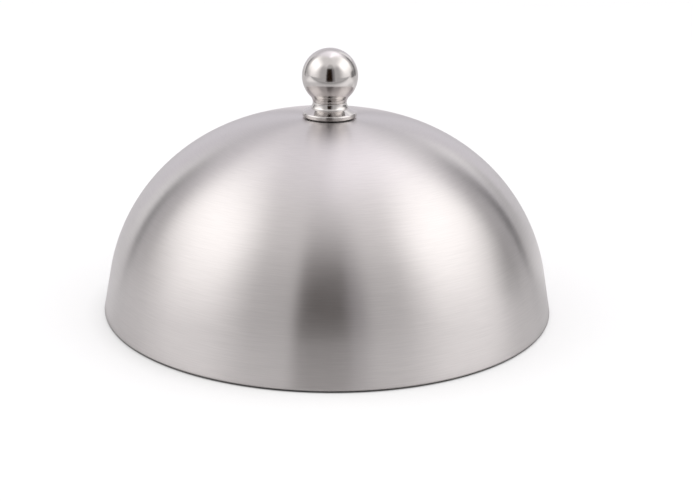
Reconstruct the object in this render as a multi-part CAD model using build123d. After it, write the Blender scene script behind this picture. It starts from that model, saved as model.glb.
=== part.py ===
from build123d import *
from math import acos, asin, atan2, cos, degrees, hypot, radians, sin, sqrt, tan
import os

# A melting dome: a spun steel bell that stands mouth down on a griddle, with a ball knob screwed
# to its crown. Millimetres, +Z up. The origin is the centre of the rim, on the griddle.

# Dome shell
RIM_DIAMETER = 240.0  # outside, at the widest
DOME_HEIGHT = 103.6  # griddle to the crown's outer face
CROWN_DIAMETER = 30.0  # flat at the top, where the knob seats
SKIRT_HEIGHT = 22.0  # the wall is straight from the roll up to here
SKIRT_SLOPE = 10.7  # degrees from upright
SHEET = 0.8  # thickness of the steel
ROLL_INSIDE = 0.7  # inside radius of the rim's inward roll
ROLL_LAND = 0.8  # width of the flat under the roll
ROLL_GAP = 0.3  # between the roll's cut edge and the wall

# Gasket between the crown and the knob
SEAL_DIAMETER = 23.0
SEAL_THICKNESS = 0.6

# Knob foot, from the gasket up
FLANGE_DIAMETER = 28.4
FLANGE_EDGE = 1.6  # height of its upright edge
FLANGE_ROUND = 0.9  # upper edge
FLANGE_BEVEL = 0.35  # lower edge
STEP_DIAMETER = 19.5  # where the neck stands on the flange
STEP_HEIGHT = 4.9  # gasket to the step's upper corner
STEP_WALL = 0.65  # upright part below that corner
WAIST_HEIGHT = 7.28  # gasket to the narrowest part of the neck
JOINT_RISE = 0.72  # from the waist up to the joint with the ball
SPIGOT_LENGTH = 2.35  # reaches up into the ball

# Ball knob
BALL_DIAMETER = 29.1
BALL_WALL = 2.0
NECK_DIAMETER = 17.8  # at the waist
NECK_COVE = 5.0  # radius of the hollow from the waist up to the ball
NECK_BORE = 12.0
SPLIT_BEVEL = 0.25  # both edges of the joint between ball and foot
BRAZE_GAP = 0.05  # all round the spigot and the nut

# Nut inside the knob
NUT_LENGTH = 5.35  # below its flange
NUT_WALL = 1.3
NUT_FLANGE = 1.3
NUT_FLANGE_LIP = 1.2  # past the nut's barrel
NUT_ROOM = 0.4  # below the nut

# Screw and washers under the crown
SCREW_DIAMETER = 5.0
SCREW_LENGTH = 16.0  # under the head
THREAD_PITCH = 0.8
THREAD_GAP = 0.05  # between screw and nut
SCREW_ROOM = 0.25  # round the screw in the holes that it passes
TIP_BEVEL = 0.6
HEAD_DIAMETER = 9.5
HEAD_HEIGHT = 3.0
HEAD_ROUND = 2.0
RECESS_LENGTH = 4.6
RECESS_WIDTH = 1.3
RECESS_DEPTH = 1.9
RECESS_TAPER = 8.0  # degrees
PLAIN_DIAMETER = 15.0
PLAIN_THICKNESS = 1.2
SPRING_WIDTH = 2.0
SPRING_THICKNESS = 1.2
SPRING_SLIT = 0.6
SLIT_SLANT = 30.0  # degrees

rim_r = RIM_DIAMETER / 2
crown_r = CROWN_DIAMETER / 2
roll_r = ROLL_INSIDE + SHEET
outer_roll_r = rim_r - roll_r
slope = radians(SKIRT_SLOPE)
flange_r = FLANGE_DIAMETER / 2
ball_r = BALL_DIAMETER / 2
neck_r = NECK_DIAMETER / 2
spigot_r = NECK_BORE / 2 - BRAZE_GAP
screw_r = SCREW_DIAMETER / 2
passage_r = screw_r + SCREW_ROOM
thread_r = screw_r + THREAD_GAP
nut_r = thread_r + NUT_WALL
head_r = HEAD_DIAMETER / 2

# The shoulder is part of an ellipse. It leaves the crown level and meets the skirt at its slope.
skirt_low_r = outer_roll_r + roll_r * cos(slope)
skirt_low_z = roll_r + roll_r * sin(slope)
skirt_r = skirt_low_r - (SKIRT_HEIGHT - skirt_low_z) * tan(slope)
shoulder_drop = DOME_HEIGHT - SKIRT_HEIGHT
shoulder_reach = skirt_r - crown_r
lean = tan(slope) * shoulder_drop / shoulder_reach
stop = lean / (1 - lean)  # sine of the ellipse's angle at the skirt
ellipse_height = shoulder_drop / (1 - stop)
ellipse_width = shoulder_reach / sqrt(1 - stop**2)

# Heights of the stack, from the screw head up
under_crown_z = DOME_HEIGHT - SHEET
plain_z = under_crown_z - PLAIN_THICKNESS
spring_z = plain_z - SPRING_THICKNESS
tip_z = spring_z + SCREW_LENGTH
foot_z = DOME_HEIGHT + SEAL_THICKNESS
edge_z = foot_z + FLANGE_EDGE
step_z = foot_z + STEP_HEIGHT
waist_z = foot_z + WAIST_HEIGHT
split_z = waist_z + JOINT_RISE
ball_z = waist_z + sqrt((ball_r + NECK_COVE) ** 2 - (neck_r + NECK_COVE) ** 2)
spigot_z = split_z + SPIGOT_LENGTH
nut_z = spigot_z - NUT_LENGTH


def turned(*edges):
    """A solid of revolution about the dome's axis, from a closed outline in radius and height."""
    return revolve(Plane.XZ * make_face(edges), Axis.Z)


def washer(diameter, bore_r, z, thickness):
    """A flat ring whose lower face is at z."""
    ring = Circle(diameter / 2) - Circle(bore_r)
    return extrude(Pos(0, 0, z) * ring, thickness)


def cove_turn(z):
    """Degrees that the hollow of the neck has turned at height z, from upright at the waist."""
    return degrees(asin((z - waist_z) / NECK_COVE))


def sheet_line(depth):
    """One face of the steel sheet, that depth under its outer face, from crown hole to cut edge."""
    inner_roll_r = outer_roll_r - ROLL_LAND
    bend = roll_r - depth
    stop_angle = degrees(asin(stop))
    # The roll's cut edge stops short of the wall's inner face.
    wall_run = (roll_r - ROLL_INSIDE * sin(slope)) * tan(slope)
    cut_r = outer_roll_r + ROLL_INSIDE * cos(slope) - wall_run - ROLL_GAP
    shoulder = EllipticalCenterArc(
        (crown_r, DOME_HEIGHT - ellipse_height),
        ellipse_width - depth,
        ellipse_height - depth,
        start_angle=stop_angle,
        arc_size=90 - stop_angle,
    )
    outer_roll = CenterArc((outer_roll_r, roll_r), bend, -90, 90 + SKIRT_SLOPE)
    return [
        Line((passage_r, DOME_HEIGHT - depth), (crown_r, DOME_HEIGHT - depth)),
        shoulder,
        Line(shoulder @ 0, outer_roll @ 1),
        outer_roll,
        Line((outer_roll_r, depth), (inner_roll_r, depth)),
        CenterArc((inner_roll_r, roll_r), bend, 90, 180),
        Line((inner_roll_r, roll_r + bend), (cut_r, roll_r + bend)),
    ]


def make_dome_shell():
    outer = sheet_line(0)
    inner = sheet_line(SHEET)
    hole_edge = Line(outer[0] @ 0, inner[0] @ 0)
    cut_edge = Line(outer[-1] @ 1, inner[-1] @ 1)
    return turned(*outer, *inner, hole_edge, cut_edge)


def make_seal_washer():
    return washer(SEAL_DIAMETER, passage_r, DOME_HEIGHT, SEAL_THICKNESS)


def make_knob_foot():
    lip_r = flange_r - FLANGE_ROUND
    step_r = STEP_DIAMETER / 2
    wall_z = step_z - STEP_WALL
    joint_r = neck_r - SPLIT_BEVEL
    pocket_r = nut_r + BRAZE_GAP
    pocket_z = nut_z - NUT_ROOM
    # The flange's top touches the round of its edge and slopes up to the step.
    away_r = step_r - lip_r
    away_z = wall_z - edge_z
    round_turn = atan2(away_z, away_r) - acos(FLANGE_ROUND / hypot(away_r, away_z))
    lower_edge = Polyline(
        (passage_r, foot_z),
        (flange_r - FLANGE_BEVEL, foot_z),
        (flange_r, foot_z + FLANGE_BEVEL),
        (flange_r, edge_z),
    )
    upper_edge = CenterArc((lip_r, edge_z), FLANGE_ROUND, 0, degrees(round_turn))
    slope_and_step = Polyline(upper_edge @ 1, (step_r, wall_z), (step_r, step_z))
    flare = TangentArc((neck_r, waist_z), (step_r, step_z), tangent=(0, -1))
    turn = cove_turn(split_z - SPLIT_BEVEL)
    cove = CenterArc((neck_r + NECK_COVE, waist_z), NECK_COVE, 180 - turn, turn)
    joint_and_bore = Polyline(
        cove @ 0,
        (joint_r, split_z),
        (spigot_r, split_z),
        (spigot_r, spigot_z),
        (pocket_r, spigot_z),
        (pocket_r, pocket_z),
        (passage_r, pocket_z),
        (passage_r, foot_z),
    )
    return turned(lower_edge, upper_edge, slope_and_step, flare, cove, joint_and_bore)


def make_ball_knob():
    bore_r = NECK_BORE / 2
    hollow_r = ball_r - BALL_WALL
    mouth_z = ball_z - sqrt(hollow_r**2 - bore_r**2)
    # The cove touches the ball on the line between their centres.
    share = ball_r / (ball_r + NECK_COVE)
    touch = ((neck_r + NECK_COVE) * share, ball_z - (ball_z - waist_z) * share)
    turn = cove_turn(split_z + SPLIT_BEVEL)
    touch_turn = cove_turn(touch[1])
    cove = CenterArc((neck_r + NECK_COVE, waist_z), NECK_COVE, 180 - touch_turn, touch_turn - turn)
    neck = Polyline(
        (bore_r, mouth_z),
        (bore_r, split_z),
        (neck_r - SPLIT_BEVEL, split_z),
        cove @ 1,
    )
    ball = ThreePointArc(cove @ 0, (ball_r, ball_z), (0, ball_z + ball_r))
    axis = Line((0, ball_z + ball_r), (0, ball_z + hollow_r))
    hollow = ThreePointArc((0, ball_z + hollow_r), (hollow_r, ball_z), (bore_r, mouth_z))
    return turned(neck, cove, ball, axis, hollow)


def make_knob_nut():
    lip_r = nut_r + NUT_FLANGE_LIP
    top_z = spigot_z + NUT_FLANGE
    outline = Polyline(
        (thread_r, nut_z),
        (nut_r, nut_z),
        (nut_r, spigot_z),
        (lip_r, spigot_z),
        (lip_r, top_z),
        (thread_r, top_z),
        close=True,
    )
    return turned(outline)


def make_fixing_screw():
    face_z = spring_z - HEAD_HEIGHT
    round_z = face_z + HEAD_ROUND
    face = Line((0, face_z), (head_r - HEAD_ROUND, face_z))
    edge = CenterArc((head_r - HEAD_ROUND, round_z), HEAD_ROUND, -90, 90)
    shank = Polyline(
        (head_r, round_z),
        (head_r, spring_z),
        (screw_r, spring_z),
        (screw_r, tip_z - TIP_BEVEL),
        (screw_r - TIP_BEVEL, tip_z),
        (0, tip_z),
        (0, face_z),
    )
    cross = Rectangle(RECESS_LENGTH, RECESS_WIDTH) + Rectangle(RECESS_WIDTH, RECESS_LENGTH)
    recess = extrude(Pos(0, 0, face_z) * cross, RECESS_DEPTH, taper=RECESS_TAPER)
    return turned(face, edge, shank) - recess


def make_plain_washer():
    return washer(PLAIN_DIAMETER, passage_r, plain_z, PLAIN_THICKNESS)


def make_spring_washer():
    outer_r = passage_r + SPRING_WIDTH
    ring = washer(2 * outer_r, passage_r, spring_z, SPRING_THICKNESS)
    slit = Box(2 * SPRING_WIDTH, SPRING_SLIT, 4 * SPRING_THICKNESS)
    middle = Pos(passage_r + SPRING_WIDTH / 2, 0, spring_z + SPRING_THICKNESS / 2)
    return ring - middle * Rot(X=SLIT_SLANT) * slit


pieces = {
    "dome_shell": make_dome_shell(),
    "seal_washer": make_seal_washer(),
    "knob_foot": make_knob_foot(),
    "ball_knob": make_ball_knob(),
    "knob_nut": make_knob_nut(),
    "fixing_screw": make_fixing_screw(),
    "plain_washer": make_plain_washer(),
    "spring_washer": make_spring_washer(),
}

os.makedirs("parts", exist_ok=True)
for name, solid in pieces.items():
    export_step(solid, f"parts/{name}.step")

travel = tip_z - nut_z
print(f"height over the knob {ball_z + ball_r:.2f} mm")
print(f"knob comes off after {travel / THREAD_PITCH:.2f} turns and {travel:.2f} mm")
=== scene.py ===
import math
import bpy
import numpy as np
from mathutils import Matrix, Vector


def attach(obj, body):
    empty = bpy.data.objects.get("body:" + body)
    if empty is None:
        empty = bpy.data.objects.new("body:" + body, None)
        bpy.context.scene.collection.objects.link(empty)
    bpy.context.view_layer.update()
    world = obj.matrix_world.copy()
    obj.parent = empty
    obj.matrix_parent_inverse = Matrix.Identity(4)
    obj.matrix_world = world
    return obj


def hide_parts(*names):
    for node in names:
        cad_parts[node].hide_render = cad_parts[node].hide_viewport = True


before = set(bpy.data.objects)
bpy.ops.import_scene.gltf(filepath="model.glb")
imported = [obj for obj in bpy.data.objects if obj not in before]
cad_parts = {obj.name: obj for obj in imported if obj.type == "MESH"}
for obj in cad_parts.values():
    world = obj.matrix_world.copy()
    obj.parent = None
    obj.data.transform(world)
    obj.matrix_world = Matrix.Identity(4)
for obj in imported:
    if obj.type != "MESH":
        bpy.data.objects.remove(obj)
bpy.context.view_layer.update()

mm = 0.001         # outlines are worked out in millimetres
samePoint = 1e-6   # points nearer than this count as one, mm
sharpAngle = 32.0  # faces that meet at more than this keep a hard edge, degrees
scene = bpy.context.scene
print("frame loaded:", ", ".join(sorted(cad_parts)))


# an ellipse's points about (centreR, centreZ): r = centreR + halfR cos a, z = centreZ + halfZ sin a
def ovalRun(centreR, centreZ, halfR, halfZ, fromDeg, toDeg, count):
    a = np.radians(np.linspace(fromDeg, toDeg, count))
    return np.column_stack([centreR + halfR * np.cos(a), centreZ + halfZ * np.sin(a)])


# the same for a circle
def arcRun(centreR, centreZ, radius, fromDeg, toDeg, count):
    return ovalRun(centreR, centreZ, radius, radius, fromDeg, toDeg, count)


# evenly spaced points from start to end, both kept
def straightRun(start, end, count=2):
    t = np.linspace(0, 1, count)[:, None]
    return np.array(start, float) * (1 - t) + np.array(end, float) * t


# runs laid end to end, with the points that two runs share kept once
def joinRuns(*runs):
    line = np.concatenate([np.asarray(r, float) for r in runs])
    keep = np.r_[True, np.linalg.norm(np.diff(line, axis=0), axis=1) > samePoint]
    return line[keep]


# a grid of points (rows along the outline, columns round the axis) to a closed mesh
# with poles the outline's two ends lie on the axis, otherwise the outline is a loop
# bake map: u is the share of the turn, v the share of the outline's length
def gridMesh(name, grid, poles, bakeMap=True):
    cols = grid.shape[1]
    body = grid[1:-1] if poles else grid
    count = len(body)
    verts = body.reshape(-1, 3)
    index = np.arange(count * cols).reshape(count, cols)
    nextCol = np.roll(index, -1, axis=1)
    line = grid[:, 0] if poles else np.concatenate([grid[:, 0], grid[:1, 0]])
    v = np.r_[0, np.cumsum(np.linalg.norm(np.diff(line, axis=0), axis=1))]
    v = v / v[-1]
    u = np.arange(cols + 1) / cols
    if poles:
        low, high, lowNext, highNext = index[:-1], index[1:], nextCol[:-1], nextCol[1:]
        vLow, vHigh = v[1:-2], v[2:-1]
    else:
        low, high = index, np.roll(index, -1, axis=0)
        lowNext, highNext = nextCol, np.roll(nextCol, -1, axis=0)
        vLow, vHigh = v[:-1], v[1:]
    quads = np.stack([low, lowNext, highNext, high], -1).reshape(-1, 4)
    corners = [(u[:-1], vLow), (u[1:], vLow), (u[1:], vHigh), (u[:-1], vHigh)]
    spots = np.stack([np.stack(np.meshgrid(*c), -1) for c in corners], 2).reshape(-1, 4, 2)
    loops = [(quads, spots)]
    if poles:
        first, last = len(verts), len(verts) + 1
        verts = np.concatenate([verts, grid[0, :1], grid[-1, :1]])
        middle = (u[:-1] + u[1:]) / 2
        for pole, ring, ringNext, left, right, vPole, vRing in (
                (first, nextCol[0], index[0], u[1:], u[:-1], v[0], v[1]),
                (last, index[-1], nextCol[-1], u[:-1], u[1:], v[-1], v[-2])):
            fan = np.stack([np.full(cols, pole), ring, ringNext], -1)
            ends = [(middle, vPole), (left, vRing), (right, vRing)]
            loops.append((fan, np.stack([np.column_stack([x, np.full(cols, y)]) for x, y in ends], 1)))
    # the enclosed volume's sign says which way the faces point
    volume = 0
    for faces, _ in loops:
        for k in range(1, faces.shape[1] - 1):
            p, q, r = verts[faces[:, 0]], verts[faces[:, k]], verts[faces[:, k + 1]]
            volume += np.sum(np.cross(q - p, r - p) * p)
    if volume < 0:
        loops = [(faces[:, ::-1], places[:, ::-1]) for faces, places in loops]
    mesh = bpy.data.meshes.new(name)
    mesh.from_pydata((verts * mm).tolist(), [], sum((faces.tolist() for faces, _ in loops), []))
    if bakeMap:
        places = np.concatenate([places.reshape(-1, 2) for _, places in loops])
        mesh.uv_layers.new(name="OFBake").uv.foreach_set("vector", places.ravel())
    mesh.validate()
    return mesh


# points round the axis at the angles t: x = r cos t, y = r sin t, z = height
def roundAxis(r, z, t):
    return np.stack([r * np.cos(t), r * np.sin(t), np.repeat(z, len(t), 1)], -1)


# even steps of one turn, without its end
def turnAngles(around):
    return np.linspace(0, 2 * np.pi, around, endpoint=False)


# an outline of (r, z) rows carried once round the axis
def lathe(name, outline, around, poles=False):
    return gridMesh(name, roundAxis(outline[:, :1], outline[:, 1:], turnAngles(around)), poles)


def smoothFaces(mesh):
    mesh.shade_smooth()
    mesh.set_sharp_from_angle(angle=math.radians(sharpAngle))


def putIn(name, mesh, body, node, slotName, *materials):
    smoothFaces(mesh)
    for m in materials:
        mesh.materials.append(m)
    piece = bpy.data.objects.new(name, mesh)
    scene.collection.objects.link(piece)
    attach(piece, body)
    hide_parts(node)
    print("made", name, len(mesh.polygons), "faces")
    return piece


def makeGroup(name, inputs, outputs):
    tree = bpy.data.node_groups.new(name, "ShaderNodeTree")
    for label, kind, value in inputs:
        socket = tree.interface.new_socket(label, in_out="INPUT", socket_type=kind)
        if value is not None:
            socket.default_value = value
    for label, kind in outputs:
        tree.interface.new_socket(label, in_out="OUTPUT", socket_type=kind)
    return tree, tree.nodes.new("NodeGroupInput"), tree.nodes.new("NodeGroupOutput")


def mathNode(tree, operation, a, b=None, c=None):
    node = tree.nodes.new("ShaderNodeMath")
    node.operation = operation
    for k, value in enumerate((a, b, c)):
        if isinstance(value, (int, float)):
            node.inputs[k].default_value = value
        elif value is not None:
            tree.links.new(value, node.inputs[k])
    return node.outputs[0]


def times(tree, first, *others):
    for other in others:
        first = mathNode(tree, "MULTIPLY", first, other)
    return first


# 1 less a share of the mask
def dimmedBy(tree, mask, share=1.0):
    return mathNode(tree, "MULTIPLY_ADD", mask, -share, 1.0)


def splitAxes(tree, vector):
    node = tree.nodes.new("ShaderNodeSeparateXYZ")
    tree.links.new(vector, node.inputs[0])
    return node.outputs["X"], node.outputs["Y"], node.outputs["Z"]


# distance from the upright axis: the root of x squared plus y squared
def axisDistance(tree, x, y):
    return mathNode(tree, "SQRT", mathNode(tree, "ADD", times(tree, x, x), times(tree, y, y)))


def noiseNode(tree, vector, scale=1.0, detail=2.0, roughness=0.5):
    node = tree.nodes.new("ShaderNodeTexNoise")
    tree.links.new(vector, node.inputs["Vector"])
    node.inputs["Scale"].default_value = scale
    node.inputs["Detail"].default_value = detail
    node.inputs["Roughness"].default_value = roughness
    return node.outputs["Fac"]


ringBrush = dict(
    bandShare=0.11,               # bands for each line
    detail=3.0, roughness=0.6,
    axisRadius=1e-6,              # keeps the division from zero on the axis, m
)


# brush lines that run round the axis: noise over (A cos t, A sin t, F s), where s is the place
# along the outline, so a line is 1/A radians long and 1/F wide, and meets itself after a turn
def makeBrushGroup(s):
    tree, inp, out = makeGroup("ringBrush", [
        ("Position", "NodeSocketVector", None),
        ("Along", "NodeSocketFloat", 0.0),
        ("Lines per metre", "NodeSocketFloat", 1200.0),
        ("Stretch", "NodeSocketFloat", 4.0),
    ], [("Lines", "NodeSocketFloat"), ("Bands", "NodeSocketFloat")])
    x, y, _ = splitAxes(tree, inp.outputs["Position"])
    radius = mathNode(tree, "MAXIMUM", axisDistance(tree, x, y), s["axisRadius"])
    across = times(tree, mathNode(tree, "DIVIDE", x, radius), inp.outputs["Stretch"])
    forth = times(tree, mathNode(tree, "DIVIDE", y, radius), inp.outputs["Stretch"])
    step = times(tree, inp.outputs["Along"], inp.outputs["Lines per metre"])
    for label, share in (("Lines", 1.0), ("Bands", s["bandShare"])):
        place = tree.nodes.new("ShaderNodeCombineXYZ")
        for value, socket in zip((across, forth, times(tree, step, share)), place.inputs):
            tree.links.new(value, socket)
        noise = noiseNode(tree, place.outputs[0], 1.0, s["detail"], s["roughness"])
        tree.links.new(noise, out.inputs[label])
    return tree


handling = dict(broad=0.7, fine=0.3, fineScale=7.0, fineDetail=3.0, fineRoughness=0.6)


# smudges from handling: two sizes of soft noise
def makeHandlingGroup(s):
    tree, inp, out = makeGroup("handling", [
        ("Position", "NodeSocketVector", None),
        ("Size", "NodeSocketFloat", 0.03),
    ], [("Smudge", "NodeSocketFloat")])
    scaled = tree.nodes.new("ShaderNodeVectorMath")
    scaled.operation = "DIVIDE"
    tree.links.new(inp.outputs["Position"], scaled.inputs[0])
    same = tree.nodes.new("ShaderNodeCombineXYZ")
    for socket in same.inputs:
        tree.links.new(inp.outputs["Size"], socket)
    tree.links.new(same.outputs[0], scaled.inputs[1])
    broad = noiseNode(tree, scaled.outputs[0])
    fine = noiseNode(tree, scaled.outputs[0], s["fineScale"], s["fineDetail"], s["fineRoughness"])
    both = mathNode(tree, "ADD", times(tree, broad, s["broad"]), times(tree, fine, s["fine"]))
    tree.links.new(both, out.inputs["Smudge"])
    return tree


brushGroup = makeBrushGroup(ringBrush)
handlingGroup = makeHandlingGroup(handling)
print("shader groups ready")


def newMaterial(name):
    material = bpy.data.materials.new(name)
    material.use_nodes = True
    tree = material.node_tree
    shader = tree.nodes["Principled BSDF"]
    spot = tree.nodes.new("ShaderNodeTexCoord")
    return material, tree, shader, spot.outputs["Object"]


def useGroup(tree, group, position, **values):
    node = tree.nodes.new("ShaderNodeGroup")
    node.node_tree = group
    tree.links.new(position, node.inputs["Position"])
    for label, value in values.items():
        socket = node.inputs[label.replace("_", " ")]
        if isinstance(value, (int, float)):
            socket.default_value = value
        else:
            tree.links.new(value, socket)
    return node


# low and high ends of a value that a 0 to 1 mask moves between
def spread(tree, mask, low, high, fromLow=0.3, fromHigh=0.7):
    node = tree.nodes.new("ShaderNodeMapRange")
    tree.links.new(mask, node.inputs["Value"])
    node.inputs["From Min"].default_value = fromLow
    node.inputs["From Max"].default_value = fromHigh
    node.inputs["To Min"].default_value = low
    node.inputs["To Max"].default_value = high
    return node.outputs["Result"]


def blendColours(tree, mask, a, b):
    node = tree.nodes.new("ShaderNodeMix")
    node.data_type = "RGBA"
    tree.links.new(mask, node.inputs["Factor"])
    node.inputs["A"].default_value = (*a, 1)
    node.inputs["B"].default_value = (*b, 1)
    return node.outputs["Result"]


# colour between the finish's dark and light
def colourBy(tree, shader, s, mask):
    colour = blendColours(tree, spread(tree, mask, 0, 1), s["dark"], s["light"])
    tree.links.new(colour, shader.inputs["Base Color"])


def bumpBy(tree, shader, s, height):
    node = tree.nodes.new("ShaderNodeBump")
    tree.links.new(height, node.inputs["Height"])
    node.inputs["Strength"].default_value = s["bump"]
    node.inputs["Distance"].default_value = s["bumpDepth"]
    tree.links.new(node.outputs["Normal"], shader.inputs["Normal"])


# metal whose reflections stretch across lines that run round the axis
def turnedMetal(tree, shader, s):
    shader.inputs["Metallic"].default_value = 1.0
    shader.inputs["Anisotropic"].default_value = s["anisotropic"]
    shader.inputs["Anisotropic Rotation"].default_value = s["turn"]
    tangent = tree.nodes.new("ShaderNodeTangent")
    tangent.direction_type = "RADIAL"
    tangent.axis = "Z"
    tree.links.new(tangent.outputs[0], shader.inputs["Tangent"])


shoulder = dict(centreR=15.0, centreZ=4.1, radius=101.0)  # the dome's shoulder as a circle, mm


# place along the wall, in metres: the angle about the shoulder's centre, times its radius
def alongWall(tree, spot, s):
    x, y, z = splitAxes(tree, spot)
    angle = mathNode(tree, "ARCTAN2", mathNode(tree, "SUBTRACT", z, s["centreZ"] * mm),
                     mathNode(tree, "SUBTRACT", axisDistance(tree, x, y), s["centreR"] * mm))
    return times(tree, angle, s["radius"] * mm)


brushedDome = dict(
    light=(0.671, 0.640, 0.633), dark=(0.619, 0.590, 0.584),  # crest and trough of a brush line
    roughness=(0.285, 0.31), anisotropic=0.95, turn=0.25,
    linesPerMetre=2300.0, stretch=7.0, bump=0.03, bumpDepth=0.0002,
    smudgeSize=0.05, smudgeRough=(-0.01, 0.01),               # what handling adds to the roughness
)


def makeBrushedDome(s):
    material, tree, shader, spot = newMaterial("brushedDome")
    brush = useGroup(tree, brushGroup, spot, Along=alongWall(tree, spot, shoulder),
                     Lines_per_metre=s["linesPerMetre"], Stretch=s["stretch"])
    smudge = useGroup(tree, handlingGroup, spot, Size=s["smudgeSize"]).outputs["Smudge"]
    lines = brush.outputs["Lines"]
    colourBy(tree, shader, s, lines)
    rough = spread(tree, lines, *s["roughness"])
    handled = mathNode(tree, "ADD", rough, spread(tree, smudge, *s["smudgeRough"]))
    tree.links.new(handled, shader.inputs["Roughness"])
    bumpBy(tree, shader, s, lines)
    turnedMetal(tree, shader, s)
    return material


spunInside = dict(
    light=(0.63, 0.62, 0.60), dark=(0.53, 0.52, 0.50), roughness=(0.36, 0.46),
    anisotropic=0.6, turn=0.25, linesPerMetre=420.0, stretch=1.6, bump=0.25, bumpDepth=0.0003,
)


def makeSpunInside(s):
    material, tree, shader, spot = newMaterial("spunInside")
    brush = useGroup(tree, brushGroup, spot, Along=alongWall(tree, spot, shoulder),
                     Lines_per_metre=s["linesPerMetre"], Stretch=s["stretch"])
    colourBy(tree, shader, s, brush.outputs["Lines"])
    tree.links.new(spread(tree, brush.outputs["Bands"], *s["roughness"]), shader.inputs["Roughness"])
    bumpBy(tree, shader, s, brush.outputs["Lines"])
    turnedMetal(tree, shader, s)
    return material


polishedKnob = dict(
    light=(0.652, 0.622, 0.607), dark=(0.622, 0.593, 0.579), roughness=(0.12, 0.15), smudgeSize=0.008,
)


def makePolishedKnob(s):
    material, tree, shader, spot = newMaterial("polishedKnob")
    smudge = useGroup(tree, handlingGroup, spot, Size=s["smudgeSize"]).outputs["Smudge"]
    colourBy(tree, shader, s, smudge)
    tree.links.new(spread(tree, smudge, *s["roughness"]), shader.inputs["Roughness"])
    shader.inputs["Metallic"].default_value = 1.0
    return material


plainSteel = dict(
    light=(0.56, 0.55, 0.53), dark=(0.44, 0.43, 0.42), roughness=(0.28, 0.42),
    linesPerMetre=6000.0, stretch=1.5, bump=0.15, bumpDepth=0.00005, smudgeSize=0.004,
)


# turning marks: the place along the outline is the radius plus the height
def makePlainSteel(s):
    material, tree, shader, spot = newMaterial("plainSteel")
    x, y, z = splitAxes(tree, spot)
    along = mathNode(tree, "ADD", axisDistance(tree, x, y), z)
    lines = useGroup(tree, brushGroup, spot, Along=along, Lines_per_metre=s["linesPerMetre"],
                     Stretch=s["stretch"]).outputs["Lines"]
    smudge = useGroup(tree, handlingGroup, spot, Size=s["smudgeSize"]).outputs["Smudge"]
    colourBy(tree, shader, s, lines)
    tree.links.new(spread(tree, smudge, *s["roughness"]), shader.inputs["Roughness"])
    bumpBy(tree, shader, s, lines)
    shader.inputs["Metallic"].default_value = 1.0
    return material


# near-black rubber of the seal washer under the flange: a real seal, and its black also stands in for the
# shade in the gap under the flange
gasketRubberAndGapShade = dict(
    light=(0.035, 0.034, 0.033), dark=(0.018, 0.018, 0.018), roughness=(0.55, 0.75),
    bump=0.2, bumpDepth=0.0001, smudgeSize=0.003,
)


def makeGasketRubberAndGapShade(s):
    material, tree, shader, spot = newMaterial("gasketRubberAndGapShade")
    smudge = useGroup(tree, handlingGroup, spot, Size=s["smudgeSize"]).outputs["Smudge"]
    colourBy(tree, shader, s, smudge)
    tree.links.new(spread(tree, smudge, *s["roughness"]), shader.inputs["Roughness"])
    bumpBy(tree, shader, s, smudge)
    return material


domeSteel = makeBrushedDome(brushedDome)
insideSteel = makeSpunInside(spunInside)
knobSteel = makePolishedKnob(polishedKnob)
hardwareSteel = makePlainSteel(plainSteel)
sealRubberAndGapShade = makeGasketRubberAndGapShade(gasketRubberAndGapShade)
print("materials ready")


# pieces: lengths in mm, heights above the surface it stands on, radii from the axis
domeShell = dict(
    rim=120.0, height=103.6, crown=15.0, skirt=22.0, slope=10.7,  # the skirt's lean in degrees
    sheet=0.8, rollInside=0.7, rollLand=0.8, rollGap=0.3, hole=2.75,
    around=280, crownSteps=8, wallSteps=110, skirtSteps=14, rollSteps=14,
)


# one face of the sheet, depth under the outer face, from the crown hole to the rolled edge's end:
# a flat crown, part of an ellipse that ends at the skirt's slope, the straight skirt, then the roll
def sheetFace(s, depth):
    roll = s["rollInside"] + s["sheet"]
    lean = math.radians(s["slope"])
    outerR = s["rim"] - roll
    innerR = outerR - s["rollLand"]
    bend = roll - depth
    crownZ = s["height"] - depth
    skirtLowR, skirtLowZ = outerR + roll * math.cos(lean), roll + roll * math.sin(lean)
    skirtR = skirtLowR - (s["skirt"] - skirtLowZ) * math.tan(lean)
    drop, reach = s["height"] - s["skirt"], skirtR - s["crown"]
    share = math.tan(lean) * drop / reach
    stop = share / (1 - share)  # sine of the ellipse's angle where the skirt takes over
    halfZ, halfR = drop / (1 - stop), reach / math.sqrt(1 - stop ** 2)
    wall = ovalRun(s["crown"], s["height"] - halfZ, halfR - depth, halfZ - depth, 90,
                   math.degrees(math.asin(stop)), s["wallSteps"])
    wallFoot = (outerR + bend * math.cos(lean), roll + bend * math.sin(lean))
    hollow = s["rollInside"]
    insideR = outerR + hollow * math.cos(lean) - (roll - hollow * math.sin(lean)) * math.tan(lean)
    return joinRuns(
        straightRun((s["hole"], crownZ), (s["crown"], crownZ), s["crownSteps"]),
        wall,
        straightRun(wall[-1], wallFoot, s["skirtSteps"]),
        arcRun(outerR, roll, bend, s["slope"], -90, s["rollSteps"]),
        arcRun(innerR, roll, bend, -90, -270, 2 * s["rollSteps"]),
        straightRun((innerR, roll + bend), (insideR - s["rollGap"], roll + bend)),
    )


outerFace = sheetFace(domeShell, 0)
innerFace = sheetFace(domeShell, domeShell["sheet"])
shellMesh = lathe("domeShell", joinRuns(outerFace, innerFace[::-1]), domeShell["around"])
putIn("domeShell", shellMesh, "dome", "dome_shell", "brushed_dome", domeSteel, insideSteel)
# the inner face takes the spun finish: rings of faces past the outer face's last point
ringOf = np.repeat(np.arange(len(outerFace) + len(innerFace)), domeShell["around"])
shellMesh.polygons.foreach_set("material_index", (ringOf >= len(outerFace)).astype(np.int32))


sealWasher = dict(outer=11.5, inner=2.75, low=103.6, thick=0.6, rounding=0.15, around=128, edgeSteps=6)
plainWasher = dict(outer=7.5, inner=2.75, low=101.6, thick=1.2, rounding=0.12, around=128, edgeSteps=6)


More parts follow.
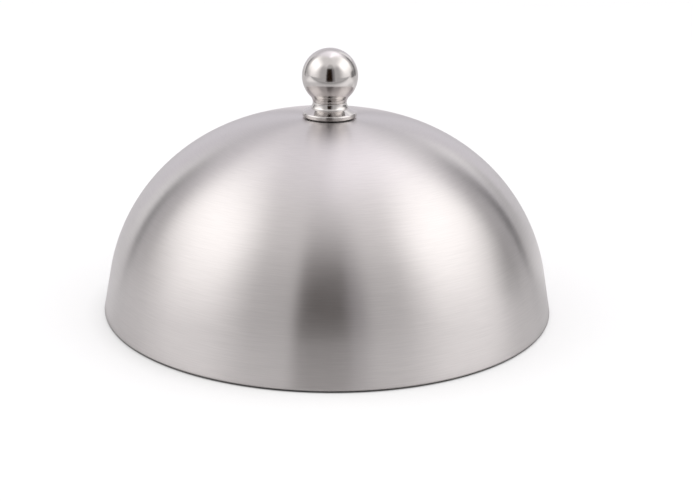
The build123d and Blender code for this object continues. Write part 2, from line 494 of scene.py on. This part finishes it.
# a flat ring with rounded edges: four straight sides joined by quarter circles
def ringOutline(s):
    e = s["rounding"]
    top = s["low"] + s["thick"]
    return joinRuns(
        arcRun(s["outer"] - e, s["low"] + e, e, -90, 0, s["edgeSteps"]),
        arcRun(s["outer"] - e, top - e, e, 0, 90, s["edgeSteps"]),
        arcRun(s["inner"] + e, top - e, e, 90, 180, s["edgeSteps"]),
        arcRun(s["inner"] + e, s["low"] + e, e, 180, 270, s["edgeSteps"]),
    )


putIn("sealWasher", lathe("sealWasher", ringOutline(sealWasher), sealWasher["around"]),
      "gasket", "seal_washer", "gasket", sealRubberAndGapShade)
putIn("plainWasher", lathe("plainWasher", ringOutline(plainWasher), plainWasher["around"]),
      "dome", "plain_washer", "plain_steel", hardwareSteel)


knobFoot = dict(
    low=104.2, flange=14.2, edgeTop=105.8, flangeBevel=0.35, flangeRound=0.9,
    step=9.75, stepTop=109.1, stepWall=0.65,
    neck=8.9, waist=111.48, cove=5.0, split=112.2, edgeBevel=0.25,
    spigot=5.95, spigotTop=114.55, pocket=3.9, pocketLow=108.8, bore=2.75,
    around=192, baseSteps=4, edgeSteps=3, lipSteps=12, slopeSteps=8, flareSteps=28, coveSteps=6,
)


# from the bore out: flat base, edge, rounded lip, a slope that touches the round and ends at the step's
# short wall, a flare that is upright at the waist, the start of the cove, then the joint and the spigot
def footOutline(s):
    lip, wallLow = s["flange"] - s["flangeRound"], s["stepTop"] - s["stepWall"]
    edgeLow = s["low"] + s["flangeBevel"]
    away = complex(s["step"] - lip, wallLow - s["edgeTop"])
    touch = math.degrees(math.atan2(away.imag, away.real) - math.acos(s["flangeRound"] / abs(away)))
    lipRound = arcRun(lip, s["edgeTop"], s["flangeRound"], 0, touch, s["lipSteps"])
    run, rise = s["step"] - s["neck"], s["waist"] - s["stepTop"]
    flare = (run ** 2 + rise ** 2) / (2 * run)
    flareEnd = 180 + math.degrees(math.asin(rise / flare))
    coveEnd = 180 - math.degrees(math.asin((s["split"] - s["edgeBevel"] - s["waist"]) / s["cove"]))
    return joinRuns(
        straightRun((s["bore"], s["low"]), (s["flange"] - s["flangeBevel"], s["low"]), s["baseSteps"]),
        straightRun((s["flange"], edgeLow), (s["flange"], s["edgeTop"]), s["edgeSteps"]),
        lipRound,
        straightRun(lipRound[-1], (s["step"], wallLow), s["slopeSteps"]),
        straightRun((s["step"], wallLow), (s["step"], s["stepTop"]), s["edgeSteps"]),
        arcRun(s["neck"] + flare, s["waist"], flare, flareEnd, 180, s["flareSteps"]),
        arcRun(s["neck"] + s["cove"], s["waist"], s["cove"], 180, coveEnd, s["coveSteps"]),
        [(s["neck"] - s["edgeBevel"], s["split"]), (s["spigot"], s["split"]), (s["spigot"], s["spigotTop"]),
         (s["pocket"], s["spigotTop"]), (s["pocket"], s["pocketLow"]), (s["bore"], s["pocketLow"])],
    )


putIn("knobFoot", lathe("knobFoot", footOutline(knobFoot), knobFoot["around"]),
      "knob", "knob_foot", "polished_knob", knobSteel)


ballKnob = dict(
    radius=14.55, wall=2.0, neck=8.9, waist=111.48, cove=5.0, bore=6.0, split=112.2, edgeBevel=0.25,
    around=224, ballSteps=120, coveSteps=24,
)


# from the top down: the ball, the cove that touches it, the joint's edge, then the hollow inside
def ballOutline(s):
    coveR = s["neck"] + s["cove"]
    reach = s["radius"] + s["cove"]
    ballZ = s["waist"] + math.sqrt(reach ** 2 - coveR ** 2)
    touch = math.degrees(math.atan2(s["waist"] - ballZ, coveR))  # where ball and cove meet
    coveEnd = 180 - math.degrees(math.asin((s["split"] + s["edgeBevel"] - s["waist"]) / s["cove"]))
    hollow = s["radius"] - s["wall"]
    mouth = math.degrees(math.asin(-math.sqrt(hollow ** 2 - s["bore"] ** 2) / hollow))
    ball = arcRun(0, ballZ, s["radius"], 90, touch, s["ballSteps"])
    inside = arcRun(0, ballZ, hollow, mouth, 90, s["ballSteps"] // 2)
    ball[0, 0] = inside[-1, 0] = 0
    return joinRuns(
        ball,
        arcRun(coveR, s["waist"], s["cove"], 180 + touch, coveEnd, s["coveSteps"]),
        [(s["neck"] - s["edgeBevel"], s["split"]), (s["bore"], s["split"])],
        inside,
    )


putIn("ballKnob", lathe("ballKnob", ballOutline(ballKnob), ballKnob["around"], poles=True),
      "knob", "ball_knob", "polished_knob", knobSteel)


fixingScrew = dict(
    headLow=97.4, headTop=100.4, head=4.75, headRound=2.0, radius=2.5, tip=116.4, tipBevel=0.6,
    pitch=0.8, depth=0.43, runOut=0.9, crest=0.12, flank=0.7,  # crest and flank are shares of half a pitch
    recessLong=4.6, recessWide=1.3, recessDeep=1.9, recessTaper=8.0, recessLead=0.5,
    around=72, perPitch=12, faceSteps=8, roundSteps=14, sideSteps=3, tipSteps=6,
)


# the outline turned about the axis, with the thread cut in:
# r = outline r - depth * tooth(z / pitch - t / turn), tooth being a flat-topped vee,
# and the depth dying out at the head and the tip
def screwMesh(s):
    shankLow, shankTop = s["headTop"], s["tip"] - s["tipBevel"]
    rows = int((shankTop - shankLow) / s["pitch"] * s["perPitch"])
    face = s["headLow"] + s["headRound"]
    outline = joinRuns(
        straightRun((0, s["headLow"]), (s["head"] - s["headRound"], s["headLow"]), s["faceSteps"]),
        arcRun(s["head"] - s["headRound"], face, s["headRound"], -90, 0, s["roundSteps"]),
        straightRun((s["head"], face), (s["head"], s["headTop"]), s["sideSteps"]),
        straightRun((s["head"], s["headTop"]), (s["radius"], s["headTop"]), s["sideSteps"]),
        straightRun((s["radius"], shankLow), (s["radius"], shankTop), rows),
        straightRun((s["radius"], shankTop), (s["radius"] - s["tipBevel"], s["tip"]), s["tipSteps"]),
        [(0, s["tip"])],
    )
    t = turnAngles(s["around"])
    r, z = outline[:, :1], outline[:, 1:]
    phase = np.mod(z / s["pitch"] - t / (2 * np.pi), 1.0)
    tooth = np.clip((np.abs(phase - 0.5) * 2 - s["crest"]) / s["flank"], 0, 1)
    fade = np.clip((z - shankLow) / s["runOut"], 0, 1) * np.clip((s["tip"] - z) / s["tipBevel"], 0, 1)
    onShank = (r <= s["radius"] + samePoint) & (z > shankLow)
    r = r - s["depth"] * tooth * fade * onShank
    return gridMesh("fixingScrew", roundAxis(r, z, t), True, bakeMap=False)


# the cross: its plan carried up the axis, narrowing by the taper, from a little below the head's face
def recessMesh(s):
    a, b = s["recessLong"] / 2, s["recessWide"] / 2
    plan = np.array([(a, -b), (a, b), (b, b), (b, a), (-b, a), (-b, b), (-a, b), (-a, -b), (-b, -b),
                     (-b, -a), (b, -a), (b, -b)], float)
    up = np.array([-s["recessLead"], s["recessDeep"]])
    inset = up * math.tan(math.radians(s["recessTaper"]))
    planAt = plan[None] - np.sign(plan)[None] * inset[:, None, None]
    ends = [np.repeat(np.array([[0.0, 0.0, s["headLow"] + h]]), len(plan), 0) for h in up]
    sides = [np.column_stack([p, np.full(len(plan), s["headLow"] + h)]) for p, h in zip(planAt, up)]
    return gridMesh("recessCutter", np.stack([ends[0], *sides, ends[1]]), True, bakeMap=False)


screw = putIn("fixingScrew", screwMesh(fixingScrew), "dome", "fixing_screw", "plain_steel", hardwareSteel)
cutter = bpy.data.objects.new("recessCutter", recessMesh(fixingScrew))
scene.collection.objects.link(cutter)
cut = screw.modifiers.new("recess", "BOOLEAN")
cut.object = cutter
cut.solver = "EXACT"
bpy.context.view_layer.update()
cutMesh = bpy.data.meshes.new_from_object(screw.evaluated_get(bpy.context.evaluated_depsgraph_get()))
screw.modifiers.clear()
screw.data = cutMesh
smoothFaces(cutMesh)
bpy.data.objects.remove(cutter)

for nodeName in ("knob_nut", "spring_washer"):  # these keep their CAD shape
    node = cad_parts[nodeName]
    node.data.materials.clear()
    node.data.materials.append(hardwareSteel)
print("pieces ready")


# studio: lengths in metres, azimuths in degrees from the camera's side, plus to the right
def plainTree(name):
    material = bpy.data.materials.new(name)
    material.use_nodes = True
    material.node_tree.nodes.clear()
    out = material.node_tree.nodes.new("ShaderNodeOutputMaterial")
    return material, material.node_tree, out


def shaderNode(tree, kind, colour=None, strength=None):
    node = tree.nodes.new(kind)
    if colour is not None:
        node.inputs["Color"].default_value = (*colour, 1)
    if strength is not None:
        node.inputs["Strength"].default_value = strength
    return node


# 0 below low, 1 above high, with a smooth step between them
def smoothStep(tree, value, low, high):
    node = tree.nodes.new("ShaderNodeMapRange")
    node.interpolation_type = "SMOOTHSTEP"
    tree.links.new(value, node.inputs["Value"])
    node.inputs["From Min"].default_value = low
    node.inputs["From Max"].default_value = high
    return node.outputs["Result"]


def mixShaders(tree, mask, first, second, out):
    mix = tree.nodes.new("ShaderNodeMixShader")
    tree.links.new(mask, mix.inputs[0])
    tree.links.new(first.outputs[0], mix.inputs[1])
    tree.links.new(second.outputs[0], mix.inputs[2])
    tree.links.new(mix.outputs[0], out.inputs["Surface"])


# pairs are the places where a change starts and where it is whole
floorPaper = dict(
    size=120.0, drop=0.0002, albedo=(0.80, 0.79, 0.78),
    shade=0.60, glow=0.40,                                  # lit and glowing share of what the camera sees
    underRim=(0.1182, 0.1198), besideRim=(0.1198, 0.1238),  # where glow starts for the camera and the metal
    leftShade=0.16, leftEnd=(0.118, 0.132), leftward=(0.0, 0.1),
    metalGlow=0.23, metalLean=0.68, leanLimit=0.3, leanEnd=(0.3, 0.5), metalSides=0.18,
    farSides=0.2, farOut=(0.25, 0.55),
    metalFar=0.2, ahead=(0.14, 0.42), behind=(0.02, 0.3),
    aheadShade=0.54, aheadEase=0.52, easeAhead=(0.36, 0.52),
    backShade=0.38, backGlow=0.2, backSlant=1.5, backRight=(0.02, 0.12), backward=(-0.09, 0.03),
    backEnd=(0.22, 0.46),
)


# white paper: what the camera and the metal see is part glow, part lit, so that shadows stay
def makeFloorPaper(s):
    material, tree, out = plainTree("floorPaper")
    path = tree.nodes.new("ShaderNodeLightPath").outputs
    spot = tree.nodes.new("ShaderNodeTexCoord").outputs["Object"]
    x, y, _ = splitAxes(tree, spot)
    length = tree.nodes.new("ShaderNodeVectorMath")
    length.operation = "LENGTH"
    tree.links.new(spot, length.inputs[0])
    distance = length.outputs["Value"]
    forward, leftward = times(tree, y, -1.0), times(tree, x, -1.0)
    # painted contact shadow: no glow under the rim, and for the metal none just beside it, where the paper
    # sees only the dome
    clearOfCameraRimShadow = smoothStep(tree, distance, *s["underRim"])
    clearOfMetalRimShadow = smoothStep(tree, distance, *s["besideRim"])
    # painted shade and light that only the metal sees: the paper is darker to it than to the camera, less
    # so at the sides, more so to the near left, far ahead, behind the object and at the back right
    sideways = mathNode(tree, "MINIMUM", mathNode(tree, "MAXIMUM", x, -s["leanLimit"]), s["leanLimit"])
    near = dimmedBy(tree, smoothStep(tree, distance, *s["leanEnd"]))
    metal = mathNode(tree, "MULTIPLY_ADD", times(tree, sideways, near), s["metalLean"], s["metalGlow"])
    metal = mathNode(tree, "MULTIPLY_ADD", mathNode(tree, "ABSOLUTE", sideways), s["metalSides"], metal)
    farOut = smoothStep(tree, mathNode(tree, "ABSOLUTE", x), *s["farOut"])
    metal = mathNode(tree, "MULTIPLY_ADD", farOut, s["farSides"], metal)
    ahead = smoothStep(tree, forward, *s["ahead"])
    away = mathNode(tree, "MAXIMUM", ahead, smoothStep(tree, y, *s["behind"]))
    rightward = mathNode(tree, "MULTIPLY_ADD", y, -s["backSlant"], x)
    backRight = times(tree, smoothStep(tree, rightward, *s["backRight"]),
                      smoothStep(tree, y, *s["backward"]),
                      dimmedBy(tree, smoothStep(tree, distance, *s["backEnd"])))
    metalGlow = times(tree, metal, dimmedBy(tree, away, 1.0 - s["metalFar"]),
                      dimmedBy(tree, backRight, s["backGlow"]), clearOfMetalRimShadow)
    # painted shade: the lit part is darker for the metal too, ahead of the object and at the back right
    shaded = times(tree, ahead, dimmedBy(tree, smoothStep(tree, forward, *s["easeAhead"]), s["aheadEase"]))
    metalLit = times(tree, dimmedBy(tree, shaded, s["aheadShade"]),
                     dimmedBy(tree, backRight, s["backShade"]), clearOfMetalRimShadow)
    # the camera sees a soft shadow beside the rim on the left
    beside = times(tree, dimmedBy(tree, smoothStep(tree, distance, *s["leftEnd"])),
                   smoothStep(tree, leftward, *s["leftward"]))
    seenGlow = times(tree, dimmedBy(tree, beside, s["leftShade"]), s["glow"], clearOfCameraRimShadow,
                     path["Is Camera Ray"])
    lit = shaderNode(tree, "ShaderNodeBsdfDiffuse", s["albedo"])
    seenLit = shaderNode(tree, "ShaderNodeBsdfDiffuse")
    litShare = mathNode(tree, "MAXIMUM", path["Is Camera Ray"], metalLit)
    tree.links.new(times(tree, litShare, s["shade"]), seenLit.inputs["Color"])
    glow = shaderNode(tree, "ShaderNodeEmission", (1, 1, 1))
    tree.links.new(mathNode(tree, "MAXIMUM", seenGlow, metalGlow), glow.inputs["Strength"])
    both = tree.nodes.new("ShaderNodeAddShader")
    tree.links.new(seenLit.outputs[0], both.inputs[0])
    tree.links.new(glow.outputs[0], both.inputs[1])
    seen = mathNode(tree, "MAXIMUM", path["Is Camera Ray"], path["Is Glossy Ray"])
    seen = mathNode(tree, "MAXIMUM", seen, path["Is Transmission Ray"])
    mixShaders(tree, seen, lit, both, out)
    return material


# a card that glows at one level and fades to nothing at its left, right, low and top edges
def makeGlow(name, colour, level, left, right, low, top):
    material, tree, out = plainTree(name)
    glow = shaderNode(tree, "ShaderNodeEmission", colour, level)
    clear = shaderNode(tree, "ShaderNodeBsdfTransparent")
    u, v, _ = splitAxes(tree, tree.nodes.new("ShaderNodeTexCoord").outputs["UV"])
    edges = ((u, left), (dimmedBy(tree, u), right), (v, low), (dimmedBy(tree, v), top))
    mask = times(tree, *(smoothStep(tree, value, 0.0, fade) for value, fade in edges if fade))
    mixShaders(tree, mask, clear, glow, out)
    return material


# a card of quads; places are its corners on the card, 0 to 1 across and up
def addCard(name, verts, faces, places, material, seen=False):
    mesh = bpy.data.meshes.new(name)
    mesh.from_pydata(verts, [], faces)
    mesh.uv_layers.new(name="card").uv.foreach_set("vector", places)
    mesh.materials.append(material)
    card = bpy.data.objects.new(name, mesh)
    scene.collection.objects.link(card)
    card.visible_camera = seen
    return card


# a flat card: corners are its centre plus and minus half its width and half its height
def flatCard(name, centre, across, up, material, seen=False):
    c, a, u = (Vector(v) for v in (centre, across, up))
    return addCard(name, [c - a - u, c + a - u, c + a + u, c - a + u], [(0, 1, 2, 3)],
                   [0, 0, 1, 0, 1, 1, 0, 1], material, seen)


# the metal alone sees the card, which neither lights the floor nor shades it
def mirrorOnly(card):
    card.visible_shadow = card.visible_diffuse = False


half = floorPaper["size"] / 2
flatCard("floor", (0, 0, -floorPaper["drop"]), (half, 0, 0), (0, half, 0),
         makeFloorPaper(floorPaper), seen=True)


softbox = dict(peak=1.84, left=-88.0, right=87.0, elevation=39.0, distance=1.3, width=1.56, height=1.62,
               sideFade=0.26, lowFade=0.58, topFade=0.38, colour=(1.0, 0.995, 0.985))


# a card that faces the object: its centre lies at an azimuth and elevation, and its width is level
def facingCard(name, azimuth, s, material):
    az, el = math.radians(azimuth), math.radians(s["elevation"])
    towards = Vector((math.sin(az) * math.cos(el), -math.cos(az) * math.cos(el), math.sin(el)))
    across = Vector((math.cos(az), math.sin(az), 0))
    up = towards.cross(across)
    flatCard(name, towards * s["distance"], across * s["width"] / 2, up * s["height"] / 2, material)


boxGlow = makeGlow("softboxGlow", softbox["colour"], softbox["peak"], softbox["sideFade"],
                   softbox["sideFade"], softbox["lowFade"], softbox["topFade"])
for side in ("left", "right"):
    facingCard(side + "Softbox", softbox[side], softbox, boxGlow)


# painted reflections: tall narrow glowing cards behind the object, seen only in the metal, dark ones in
# front of light ones
# low and high give the azimuth and elevation of a strip's ends
# fades are the shares of its width that fade out at the left and at the right
strips = dict(
    darkLeft=dict(low=(-120.0, -2.0), high=(-140.0, 38.0), distance=1.2, halfAngle=5.5,
                  level=0.20, fades=(0.12, 0.6)),
    darkRight=dict(low=(122.0, -2.0), high=(140.0, 40.0), distance=1.2, halfAngle=6.5,
                   level=0.06, fades=(0.6, 0.12)),
    dimRight=dict(low=(106.0, -2.0), high=(110.0, 17.0), distance=1.2, halfAngle=18.0,
                  level=0.22, fades=(0.45, 0.45)),
    greyRight=dict(low=(136.0, 1.0), high=(148.0, 21.0), distance=1.25, halfAngle=8.0,
                   level=0.5, fades=(0.2, 0.45)),
    lightLeft=dict(low=(-134.0, 3.0), high=(-154.0, 40.0), distance=1.3, halfAngle=7.0,
                   level=0.92, fades=(0.4, 0.2)),
    lightRight=dict(low=(148.0, 16.0), high=(160.0, 46.0), distance=1.3, halfAngle=8.0,
                    level=1.2, fades=(0.3, 0.45)),
)
stripTopFade = 0.25


# a strip that leans: its middle goes from one azimuth and elevation to another
def leaningStrip(name, s):
    ends = []
    for az, el in (s["low"], s["high"]):
        turn = math.radians(az)
        ends.append(Vector((math.sin(turn), -math.cos(turn), math.tan(math.radians(el)))) * s["distance"])
    turn = math.radians((s["low"][0] + s["high"][0]) / 2)
    half = s["distance"] * math.tan(math.radians(s["halfAngle"]))
    grey = makeGlow(name, (1, 1, 1), s["level"], *s["fades"], 0.0, stripTopFade)
    mirrorOnly(flatCard(name, (ends[0] + ends[1]) / 2, (math.cos(turn) * half, math.sin(turn) * half, 0),
                        (ends[1] - ends[0]) / 2, grey))


for word, strip in strips.items():
    leaningStrip(word, strip)


# painted reflections: upright glowing cards in front of the object, seen only in the metal, one behind the
# other: at is the distance, minus towards the camera
frontCards = dict(
    darkCard=dict(at=-0.56, left=-0.18, right=0.12, topLeft=-0.172, topRight=0.094, high=0.66, level=0.018,
                  leftFade=0.2, rightFade=0.08, topFade=0.16, colour=(1.0, 0.5, 0.25)),
    greyCard=dict(at=-0.575, left=0.038, right=0.25, topLeft=0.038, topRight=0.25, high=0.76, level=0.24,
                  leftFade=0.1, rightFade=0.55, topFade=0.36, colour=(1.0, 0.96, 1.0)),
    faintCard=dict(at=-0.585, left=-0.2, right=0.24, topLeft=-0.2, topRight=0.24, high=1.3, level=0.5,
                   leftFade=0.3, rightFade=0.35, topFade=0.5, colour=(1.0, 0.985, 0.985)),
)


# an upright card in rows, whose left and right edges run straight from the floor to its top corners
def taperedCard(name, s, rows=16):
    v = np.linspace(0, 1, rows + 1)
    left = s["left"] + (s["topLeft"] - s["left"]) * v
    right = s["right"] + (s["topRight"] - s["right"]) * v
    deep, up = np.full(rows + 1, s["at"]), v * s["high"]
    verts = np.stack([np.stack([x, deep, up], -1) for x in (left, right)], 1)
    faces = 2 * np.arange(rows)[:, None] + [0, 1, 3, 2]
    corners = ((0, v[:-1]), (1, v[:-1]), (1, v[1:]), (0, v[1:]))
    places = np.stack([np.stack([np.full(rows, u), w], -1) for u, w in corners], 1)
    glow = makeGlow(name, s["colour"], s["level"], s["leftFade"], s["rightFade"], 0.0, s["topFade"])
    mirrorOnly(addCard(name, verts.reshape(-1, 3).tolist(), faces.tolist(), places.ravel(), glow))


for word, card in frontCards.items():
    taperedCard(word, card)


# levels of the walls near the horizon and of the ceiling, by azimuth on either side
room = dict(
    walls=[(0, 0.54), (40, 0.58), (50, 0.84), (60, 1.08), (84, 1.19), (98, 0.82), (108, 0.58), (122, 0.54),
           (140, 0.80), (180, 0.78)],
    ceiling=[(0, 0.91), (45, 0.98), (60, 0.97), (100, 0.98), (130, 1.24), (150, 1.47), (165, 1.49),
             (180, 1.42)],
    turn=(0.60, 0.86),                         # sine of the elevation where walls go over to ceiling
    lean=0.55, leanPower=8.0, frontLean=0.06,  # how much brighter the ceiling is on the right
    colour=(1.0, 0.985, 0.985), backColour=(0.99, 0.965, 1.02), backFrom=(0.70, 0.92),
    straightUp=1e-4,                           # keeps the division from zero overhead
)
rampTop = 2.0  # a ramp's colours end at 1, so levels go in divided by this


# level by azimuth, front 0 to back 1 along the cosine
def azimuthRamp(tree, place, stops):
    node = tree.nodes.new("ShaderNodeValToRGB")
    tree.links.new(place, node.inputs["Fac"])
    marks = node.color_ramp.elements
    while len(marks) < len(stops):
        marks.new(0.5)
    for mark, (az, level) in zip(marks, stops):
        mark.position = (1 - math.cos(math.radians(az))) / 2
        mark.color = (level / rampTop, level / rampTop, level / rampTop, 1)
    return times(tree, node.outputs["Color"], rampTop)


# the room by direction: walls near the horizon, and a ceiling that is brighter to the right,
# most of all at the back
def makeRoom(s):
    world = bpy.data.worlds.new("studioRoom")
    scene.world = world
    world.use_nodes = True
    tree = world.node_tree
    shade = tree.nodes["Background"]
    x, y, z = splitAxes(tree, tree.nodes.new("ShaderNodeTexCoord").outputs["Generated"])
    flat = mathNode(tree, "MAXIMUM", axisDistance(tree, x, y), s["straightUp"])
    place = mathNode(tree, "MULTIPLY_ADD", mathNode(tree, "DIVIDE", y, flat), 0.5, 0.5)
    low = azimuthRamp(tree, place, s["walls"])
    backward = mathNode(tree, "POWER", place, s["leanPower"])
    lean = mathNode(tree, "MULTIPLY_ADD", backward, s["lean"], s["frontLean"])
    lean = mathNode(tree, "MULTIPLY_ADD", mathNode(tree, "DIVIDE", x, flat), lean, 1.0)
    high = times(tree, azimuthRamp(tree, place, s["ceiling"]), lean)
    over = smoothStep(tree, z, *s["turn"])
    level = mathNode(tree, "MULTIPLY_ADD", over, mathNode(tree, "SUBTRACT", high, low), low)
    tree.links.new(level, shade.inputs["Strength"])
    tint = blendColours(tree, smoothStep(tree, place, *s["backFrom"]), s["colour"], s["backColour"])
    tree.links.new(tint, shade.inputs["Color"])


makeRoom(room)
print("studio ready")


cameraFit = dict(place=(0.0, -0.7386, 0.28169), down=18.829, right=0.769, roll=0.882,  # degrees
                 lens=75.18, sensor=36.0, near=0.01, far=200.0)


# forward from pitch and yaw, then the picture's right and up turned by the roll
def makeCamera(s):
    down, yaw, roll = (math.radians(s[k]) for k in ("down", "right", "roll"))
    forward = Vector((math.sin(yaw) * math.cos(down), math.cos(yaw) * math.cos(down), -math.sin(down)))
    right = Vector((math.cos(yaw), -math.sin(yaw), 0))
    up = right.cross(forward)
    rightTurned = math.cos(roll) * right + math.sin(roll) * up
    upTurned = math.cos(roll) * up - math.sin(roll) * right
    lens = bpy.data.cameras.new("camera")
    lens.lens, lens.sensor_width = s["lens"], s["sensor"]
    lens.clip_start, lens.clip_end = s["near"], s["far"]
    camera = bpy.data.objects.new("camera", lens)
    scene.collection.objects.link(camera)
    turn = Matrix((rightTurned, upTurned, -forward)).transposed().to_4x4()
    camera.matrix_world = Matrix.Translation(s["place"]) @ turn
    scene.camera = camera


makeCamera(cameraFit)
scene.view_settings.view_transform = "Standard"

bpy.context.view_layer.update()
